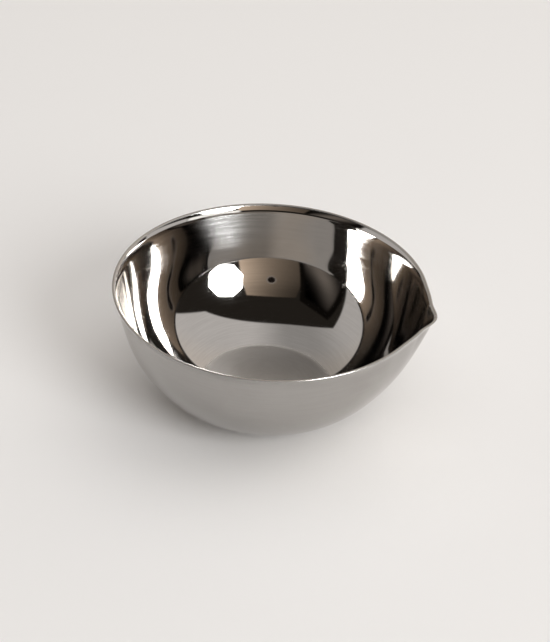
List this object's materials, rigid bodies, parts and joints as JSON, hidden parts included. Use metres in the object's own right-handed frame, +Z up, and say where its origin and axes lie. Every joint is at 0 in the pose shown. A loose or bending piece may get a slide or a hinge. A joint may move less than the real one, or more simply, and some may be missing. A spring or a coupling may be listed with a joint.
{
  "type": "spouted bowl",
  "caption": "Shallow round bowl of polished sheet steel with a flat base, a flared lip and a pressed pouring spout, for holding and pouring small amounts.",
  "frame": {"origin": "centre of the flat base, on the plane that the bowl stands on, which is on the axis of the round wall", "axes": "+X points out of the spout, +Z points up out of the mouth, and the XZ plane is the plane of symmetry"},
  "size_m": [0.1034, 0.1, 0.0412],
  "materials": {
    "polished_steel": "polished"
  },
  "bodies": {
    "root": {"bowl": "polished_steel"}
  },
  "joints": []
}
